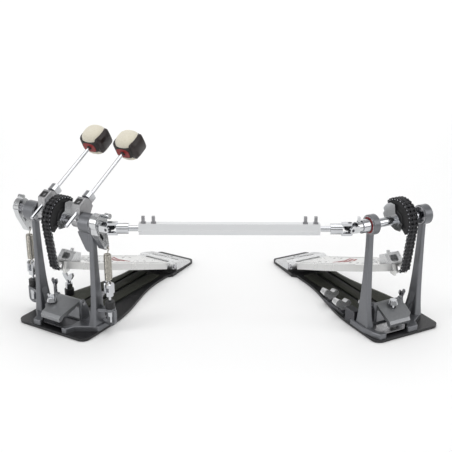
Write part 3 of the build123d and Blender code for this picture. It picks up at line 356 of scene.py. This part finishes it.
def chain(pedal):
    """Double roller chain: figure-eight plates, rollers and rivets, link by link."""
    total = CHAIN_R * (pi + LEAN - CHAIN_START) + RUN + HOOK
    count = int(total / PITCH)
    shape = Shape(pedal)
    pins = [chain_point(k * PITCH + 1.5) for k in range(count + 1)]
    for v, w in pins:
        shape.index = 1
        shape.lathe([(0.8, 0), (1.0, 0.25), (1.0, 16.3), (0.8, 16.55)], Vector((-8.28, v, w)), U, 10)
        shape.index = 0
        for low, high in ((-5.4, -1.2), (1.2, 5.4)):
            shape.lathe([(2.3, 0), (2.3, high - low)], Vector((low, v, w)), U, 12)
    plate, waist, end_r = 1.3, 2.1, 2.95
    sweep = [radians(240 * i / 9) for i in range(10)]
    for k in range(count):
        a, b = Vector(pins[k]), Vector(pins[k + 1])
        ahead = (b - a).normalized()
        across = Vector((-ahead.y, ahead.x))
        length = (b - a).length
        outline = [(end_r * cos(radians(60) + t), end_r * sin(radians(60) + t)) for t in sweep]
        outline += [(length / 2, -waist)]
        outline += [(length + end_r * cos(t - radians(120)), end_r * sin(t - radians(120))) for t in sweep]
        outline += [(length / 2, waist)]
        ex = Vector((0, ahead.x, ahead.y))
        ey = Vector((0, across.x, across.y))
        for low in (-8, -0.65, 6.7) if k % 2 else (-6.6, -2.1, 0.8, 5.3):
            shape.prism(outline, Vector((low, a.x, a.y)), ex, ey, U * plate, 0.25)
    piece = shape.build(f"{pedal.name}_chain", [chain_plate, chain_pin])
    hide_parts(f"{pedal.name}_chain_wrap", f"{pedal.name}_chain_run")
    a, b = radians(126), pi + LEAN
    start = pedal.at(0, CHAIN_R * cos(a), AXLE + CHAIN_R * sin(a))
    end = pedal.at(0, CHAIN_R * cos(b), AXLE + CHAIN_R * sin(b))
    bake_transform(piece)


chain(MAIN)
chain(REMOTE)


# ---------------------------------------------------------------- return springs
SPRING_V = 10.0  # where both springs hang
COIL = (94.5, 139.5)  # heights of a coil's ends
COIL_TURNS = 21
COIL_R = 5.5
TURN_STEPS = 18


def coil_spring(name, u, node):
    """Wound tension spring with a hook at each end, its end turns drawn in towards the hooks."""
    shape = Shape(MAIN)
    low, high = COIL
    steps = COIL_TURNS * TURN_STEPS
    lower_r, upper_r = 3.4, 3.2
    path = []
    for i in range(13):
        t = pi * 1.75 - pi * 1.4 * i / 12
        path.append(Vector((u + lower_r * sin(t), SPRING_V + lower_r * cos(t), low - 5.4 + lower_r * cos(t))))
    path.append(Vector((u + COIL_R * 0.4, SPRING_V, low - 2.4)))
    for i in range(steps + 1):
        t = 2 * pi * i / TURN_STEPS
        r = COIL_R * (0.4 + 0.6 * min(1, 2 * i / TURN_STEPS, 2 * (steps - i) / TURN_STEPS))
        path.append(Vector((u + r * cos(t), SPRING_V + r * sin(t), low + (high - low) * i / steps)))
    path.append(Vector((u + COIL_R * 0.2, SPRING_V, high + 3)))
    for i in range(13):
        t = 0.5 + pi * 1.5 * i / 12
        path.append(Vector((u + upper_r * sin(t), SPRING_V + 0.5, high + 9.2 - upper_r * cos(t))))
    shape.tube(path, 1.02, 8)
    piece = shape.build(name, [spring_wire], smooth=80)
    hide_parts(node)
    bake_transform(piece)


coil_spring("outer_coil_spring", -84, "outer_spring")
coil_spring("inner_coil_spring", 86, "inner_spring")


# ---------------------------------------------------------------- beater heads
LEAN_BACK = radians(61)
ALONG = Vector((0, sin(LEAN_BACK), cos(LEAN_BACK)))
FACE = Vector((0, -cos(LEAN_BACK), sin(LEAN_BACK)))


def superellipse(a, b, power, steps):
    """Points round an oval of half-widths a and b: power 2 is an ellipse, higher powers are squarer."""
    points = []
    for k in range(steps):
        c = cos(2 * pi * k / steps)
        s = sin(2 * pi * k / steps)
        x = a * abs(c) ** (2 / power)
        y = b * abs(s) ** (2 / power)
        points.append((x if c >= 0 else -x, y if s >= 0 else -y))
    return points


def beater_head(letter, u):
    """Four-sided head: felt and hard faces, a black core with a red patch, and the rod's collar."""
    centre = Vector((u, 0, AXLE)) + FACE * 15.5 + ALONG * 166
    shape = Shape(MAIN)

    def lobe(direction, across, levels, power, steps):
        """One face, as rings of (height along direction, half-width across, half-width along the rod)."""
        rings = []
        for height, half_across, half_along in levels:
            rings.append([centre + direction * height + across * x + ALONG * y
                          for x, y in superellipse(half_across, half_along, power, steps)])
        shape.rings(rings)

    shape.index = 0
    for sign in (1, -1):
        lobe(FACE * sign, U, [(6.5, 19.4, 19.6), (12, 19.9, 20.0), (16, 18.9, 19.0), (19.5, 16.4, 16.4),
                              (22, 12.4, 12.8), (23.3, 7, 7.2), (23.7, 1.5, 1.5)], 2.5, 36)
    shape.index = 1
    for sign in (1, -1):
        lobe(U * sign, FACE, [(12, 16.6, 17.3), (18.5, 16.8, 17.6), (22.6, 12.8, 14.2),
                              (23.6, 11.2, 12.6)], 5, 32)
    shape.index = 2
    rings = []
    for height, half_u, half_n in ((-21.3, 12.5, 9), (-20.3, 15.5, 11), (-16, 18.2, 13), (-9, 19.2, 14),
                                   (9, 19.2, 14), (16, 18.2, 13), (20.3, 15.5, 11), (21.3, 12.5, 9)):
        rings.append([centre + ALONG * height + U * x + FACE * y
                      for x, y in superellipse(half_u, half_n, 3.4, 36)])
    shape.rings(rings)
    shape.index = 3
    shape.prism(superellipse(13, 9.2, 3, 28), centre - ALONG * 21.9, U, FACE, ALONG * 1.2, 0.3)
    shape.index = 4
    shape.lathe([(3.9, 0), (4.2, 0.4), (4.2, 3.2)], centre - ALONG * 24.4, ALONG, 20)
    looks = [cream_felt, hard_face, core_black, dark_red, black_plastic]
    piece = shape.build(f"beater_head_{letter}", looks, f"beater_{letter}_head", smooth=40)
    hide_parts(f"beater_{letter}_head")


BEATER_A = -33.0
BEATER_B = 40.0
beater_head("a", BEATER_A)
beater_head("b", BEATER_B)


def holed_plate(shape, centre, outer, inner, depth):
    """A holed plate on the hub's face: outer and inner are (half-width, power) of their outlines."""
    rings = []
    outside = superellipse(outer[0], outer[0], outer[1], 32)
    inside = superellipse(inner[0], inner[0], inner[1], 32)
    for (x, y), (a, b) in zip(outside, inside):
        low_out = centre + U * x + ALONG * y
        low_in = centre + U * a + ALONG * b
        rings.append([low_out, low_out + FACE * depth, low_in + FACE * depth, low_in])
    shape.rings(rings, closed=True)


def hub_recess_shade(letter, u, body):
    """Painted shade of the key screw's recess on the hub's drum side: a black square border on the face and a
    black floor down the hole.
    """
    face = Vector((u, 0, AXLE)) + FACE * 28 + ALONG * 17
    shape = Shape(MAIN)
    # black band on the face and black floor in the hole: painted shade of the square recess
    holed_plate(shape, face - FACE * 0.05, (5.9, 8), (3.5, 2), 0.5)
    holed_plate(shape, face - FACE * 3.9, (3.55, 2), (2.25, 8), 2.6)
    piece = shape.build(f"hub_recess_{letter}", [black_plastic], body)


hub_recess_shade("a", BEATER_A, "main_axle")
hub_recess_shade("b", BEATER_B, "inner_shaft")


def rocker_bosses(name, face, side, body):
    """Round bosses on a spring rocker's outer face, over its spring pin and its axle clamp."""
    shape = Shape(MAIN)
    for v, w, r, depth in ((10, 152, 4.6, 2.6), (-6, 199, 3.6, 1.8)):
        foot = Vector((face, v, w)) - side * 0.05
        shape.lathe([(r, 0), (r, depth - 0.6), (r - 0.6, depth), (r * 0.45, depth), (r * 0.4, depth - 0.7),
                     (0.1, depth - 0.7)], foot, side, 28)
    piece = shape.build(name, [rocker_metal], body)


rocker_bosses("outer_rocker_bosses", -92, -U, "main_axle")
rocker_bosses("inner_rocker_bosses", 85, U, "inner_shaft")


# ---------------------------------------------------------------- ribbed strips on the base plates
STRIPS = ((-66.0, -24.0), (-16.0, 0.0), (8.0, 29.0))  # the raised strips' edges across the plate


def base_half(pedal, v, inset):
    """Half-width of the base plate at v, less inset."""
    wide = {"main": 74, "remote": 66}[pedal.name] - inset
    neck = 39 - inset
    if v < 28:
        return wide
    if v > 215:
        return neck
    low, high = 0.0, 1.0
    for _ in range(24):
        t = (low + high) / 2
        y = 28 * (1 - t) ** 3 + 300 * t * (1 - t) ** 2 + 429 * t * t * (1 - t) + 215 * t ** 3
        low, high = (t, high) if y < v else (low, t)
    return wide * ((1 - t) ** 3 + 3 * t * (1 - t) ** 2) + neck * (3 * t * t * (1 - t) + t ** 3)


def ribbed_strips(pedal):
    """Skins over the raised strips of the base plate, with fine lengthwise ribs."""
    shape = Shape(pedal)
    for low, high in STRIPS:
        count = int((high - low) / 2.3)
        for k in range(count):
            u = low + (k + 0.5) * (high - low) / count
            stations = [52.6 + 172.6 * i / 80 for i in range(81)]
            reach = [v for v in stations if base_half(pedal, v, 5.2) > abs(u) + 0.8]
            if len(reach) < 3:
                continue
            first, last = reach[0], reach[-1]
            ring = [(-0.85, 7.3), (-0.55, 8.0), (-0.2, 8.25), (0.2, 8.25), (0.55, 8.0), (0.85, 7.3)]
            shape.rings([[Vector((u + x * s, v, 7.3 + (z - 7.3) * s)) for x, z in ring]
                         for v, s in ((first, 0.5), (first + 1.2, 1), (last - 1.2, 1), (last, 0.5))])
    piece = shape.build(f"{pedal.name}_base_ribs", [tread], f"{pedal.name}_frame")
    strips = Shape(pedal)
    for low, high in STRIPS:
        rows = []
        for i in range(41):
            v = 51.9 + 174.2 * i / 40
            edge = base_half(pedal, v, 3.9)
            a, b = max(low - 0.1, -edge), min(high + 0.1, edge)
            if b - a < 1:
                continue
            section = ((a, 5.2), (b, 5.2), (b, 7.45), (b - 0.3, 7.62), (a + 0.3, 7.62), (a, 7.45))
            rows.append([Vector((u, v, w)) for u, w in section])
        strips.rings(rows)
    skin = strips.build(f"{pedal.name}_base_strips", [tread], f"{pedal.name}_frame")


ribbed_strips(MAIN)
ribbed_strips(REMOTE)


# ---------------------------------------------------------------- heel plates: ribs, slots and dots
HEEL_SLOPE = atan2(11, 36)


def heel_top(v):
    """Height of the heel plate's sloping top."""
    return 24 - (v - 270) * tan(HEEL_SLOPE)


def heel_details(pedal):
    """Ribs across the heel plate, with dark slots and dots between them."""
    shape = Shape(pedal)
    along = Vector((0, cos(HEEL_SLOPE), -sin(HEEL_SLOPE)))
    up = Vector((0, sin(HEEL_SLOPE), cos(HEEL_SLOPE)))
    for k in range(27):
        u = -40.3 + k * 3.1
        base = Vector((u, 272, heel_top(272)))
        shape.prism([(-0.8, 0), (0.8, 0), (0.8, 31), (-0.8, 31)], base - up * 0.3,
                    U, along, up * 0.75, 0.25)
    piece = shape.build(f"{pedal.name}_heel_ribs", [bright], f"{pedal.name}_frame")
    marks = Shape(pedal)
    for u0, u1, v in ((-22, -9, 275), (-10, 6, 281), (22, 36, 277)):
        base = Vector((u0, v, heel_top(v)))
        long = u1 - u0
        marks.prism([(0, -1.5), (long, -1.5), (long + 1.2, 0), (long, 1.5), (0, 1.5), (-1.2, 0)],
                    base, U, along, up * 0.62, 0.1)
    for u, v in ((2, 292), (8, 296)):
        marks.lathe([(2.2, 0), (2.2, 0.5), (1.9, 0.65)], Vector((u, v, heel_top(v))), up, 20)
    dark = marks.build(f"{pedal.name}_heel_marks", [black_plastic], f"{pedal.name}_frame")


heel_details(MAIN)
heel_details(REMOTE)


# ---------------------------------------------------------------- footboards: generic inlay and fixings
SLOPE = radians(19.6)
UP_BOARD = Vector((0, sin(SLOPE), cos(SLOPE)))
TO_TOE = Vector((0, -cos(SLOPE), sin(SLOPE)))
BOARD_START = Vector((0, 254, 24))


def board_point(u, s):
    """A point on the footboard's top: u across, s from the hinge towards the toe."""
    return BOARD_START + U * u + TO_TOE * s


def board_details(pedal):
    """Red chevrons, two dark lines with dark dots, and rows of grip studs on the footboard."""
    body = f"{pedal.name}_footboard"
    red = Shape(pedal)
    for k in range(3):
        s = 108 + k * 13
        half = 19 - 2.5 * k
        red.prism([(-half, 0), (0, 11), (half, 0), (half, 6.5), (0, 17.5), (-half, 6.5)], board_point(0, s),
                  U, TO_TOE, UP_BOARD * 0.25, 0.05)
    inlay = red.build(f"{pedal.name}_board_inlay", [dark_red], body)
    lines = Shape(pedal)
    for side in (-1, 1):
        lines.prism([(-0.5, 20), (0.5, 20), (0.5, 196), (-0.5, 196)], board_point(side * 30.5, 0),
                    U, TO_TOE, UP_BOARD * 0.16, 0.03)
    for s in (62, 84, 162, 184):
        for u in (-17, 17):
            lines.lathe([(2.6, 0), (2.6, 0.12), (2.2, 0.16)], board_point(u, s), UP_BOARD, 20)
    grooves = lines.build(f"{pedal.name}_board_lines", [black_plastic], body)
    grip = Shape(pedal)
    stud = [(2.4, 0), (2.4, 0.9), (1.9, 1.3), (0.9, 1.45)]
    for row in range(4):
        for k in range(5 - row % 2):
            u = (k - (4 - row % 2) / 2) * 8.5
            grip.lathe(stud, board_point(u, 198 + row * 7.4), UP_BOARD, 16)
    pads = grip.build(f"{pedal.name}_board_grips", [bright], body)


board_details(MAIN)
board_details(REMOTE)


# ---------------------------------------------------------------- bearing rings and bolts on the frames
def axle_ring(shape, u, outer, inner, depth):
    """A flat ring with rounded outer edges round the axle's line, from u outwards."""
    e = min(0.5, depth / 3)
    loop = [(inner, 0), (outer - e, 0), (outer, e), (outer, depth - e), (outer - e, depth), (inner, depth)]
    origin = Vector((u, 0, AXLE))
    e1 = U.orthogonal().normalized()
    e2 = U.cross(e1)
    rings = []
    for k in range(40):
        t = 2 * pi * k / 40
        out = e1 * cos(t) + e2 * sin(t)
        rings.append([origin + U * h + out * r for r, h in loop])
    shape.rings(rings, closed=True)


def frame_details(pedal, outer, inner, outer_housing, inner_housing):
    """Rings on both faces of each bearing housing, and a bolt at the foot of each tower."""
    body = f"{pedal.name}_frame"
    rings = Shape(pedal)
    for low, high in (outer_housing, inner_housing):
        axle_ring(rings, low - 0.6, 15.0, 13.2, 0.7)
        axle_ring(rings, high - 0.1, 15.0, 13.2, 0.7)
    bright_rings = rings.build(f"{pedal.name}_housing_rings", [steel], body)
    bolts = Shape(pedal)
    for centre in (outer, inner):
        bolts.lathe([(3.2, 0), (3.2, 2.8), (2.9, 3.2), (1.6, 3.2), (1.6, 2.4), (0.1, 2.4)],
                    Vector((centre, 24.5, 13.9)), W, 24)
    fixings = bolts.build(f"{pedal.name}_casting_bolts", [steel], body)


frame_details(MAIN, -56, 66, (-68, -46), (49.5, 71))
frame_details(REMOTE, -47, 58, (-55.5, -39.5), (50, 63))


def red_seal():
    """Dark red seal ring on the remote pedal's inner bearing."""
    red = Shape(REMOTE)
    axle_ring(red, 62.2, 13.2, 8.2, 1.0)
    ring = red.build("remote_red_seal", [dark_red], "remote_frame")


red_seal()


# ---------------------------------------------------------------- camera, floor and lights
def add_camera():
    lens = bpy.data.cameras.new("view")
    lens.lens = 64.2
    lens.sensor_width = 36
    camera = bpy.data.objects.new("view", lens)
    camera.location = (0.0011, -1.3401, 0.6337)
    camera.rotation_euler = (radians(90 - 20.5), 0, 0)
    bpy.context.scene.collection.objects.link(camera)
    bpy.context.scene.camera = camera


def add_floor():
    """Pale floor that curves up into a backdrop."""
    floor_mat, n, l, shader = node_material("studio_floor")
    shader.inputs["Base Color"].default_value = (0.94, 0.94, 0.94, 1)
    grain = n.new("ShaderNodeTexNoise")
    grain.inputs["Scale"].default_value = 40
    rough = n.new("ShaderNodeMapRange")
    rough.inputs["To Min"].default_value = 0.8
    rough.inputs["To Max"].default_value = 0.95
    l.new(grain.outputs["Fac"], rough.inputs["Value"])
    l.new(rough.outputs["Result"], shader.inputs["Roughness"])
    bm = bmesh.new()
    bend = [pi / 2 * i / 24 for i in range(25)]
    section = [(-6, 0)] + [(3.0 + 2.5 * sin(t), 2.5 * (1 - cos(t))) for t in bend] + [(5.5, 9)]
    rows = [[bm.verts.new((x, y, z - 0.0005)) for x in (-9, -3, 0, 3, 9)] for y, z in section]
    for a, b in zip(rows, rows[1:]):
        for i in range(4):
            bm.faces.new((a[i], a[i + 1], b[i + 1], b[i]))
    mesh = bpy.data.meshes.new("studio_floor")
    bm.to_mesh(mesh)
    bm.free()
    for p in mesh.polygons:
        p.use_smooth = True
    mesh.materials.append(floor_mat)
    floor = bpy.data.objects.new("studio_floor", mesh)
    bpy.context.scene.collection.objects.link(floor)


def area_light(name, place, target, width, height, power):
    light = bpy.data.lights.new(name, "AREA")
    light.energy = power
    light.shape = "RECTANGLE"
    light.size = width
    light.size_y = height
    lamp = bpy.data.objects.new(name, light)
    lamp.location = place
    lamp.rotation_euler = (Vector(target) - Vector(place)).to_track_quat("-Z", "Y").to_euler()
    bpy.context.scene.collection.objects.link(lamp)


def add_lights():
    """Large soft lights in metres and watts, and a white surround."""
    area_light("top", (0, 0.1, 2.3), (0, 0, 0), 2.4, 2.4, 30)
    area_light("left", (-1.9, -1.0, 1.2), (0, 0, 0.15), 0.9, 1.6, 13)
    area_light("right", (1.9, -0.8, 1.3), (0, 0, 0.15), 0.9, 1.6, 9)
    area_light("front", (0, -2.4, 1.5), (0, 0, 0.1), 1.8, 0.8, 5)
    area_light("backdrop", (0, 2.2, 3.2), (0, 4.8, 1.6), 5.0, 1.5, 110)
    world = bpy.data.worlds.new("studio")
    world.use_nodes = True
    world.node_tree.nodes["Background"].inputs["Color"].default_value = (1, 1, 1, 1)
    world.node_tree.nodes["Background"].inputs["Strength"].default_value = 0.42
    bpy.context.scene.world = world
    bpy.context.scene.view_settings.view_transform = "Standard"


add_camera()
add_floor()
add_lights()
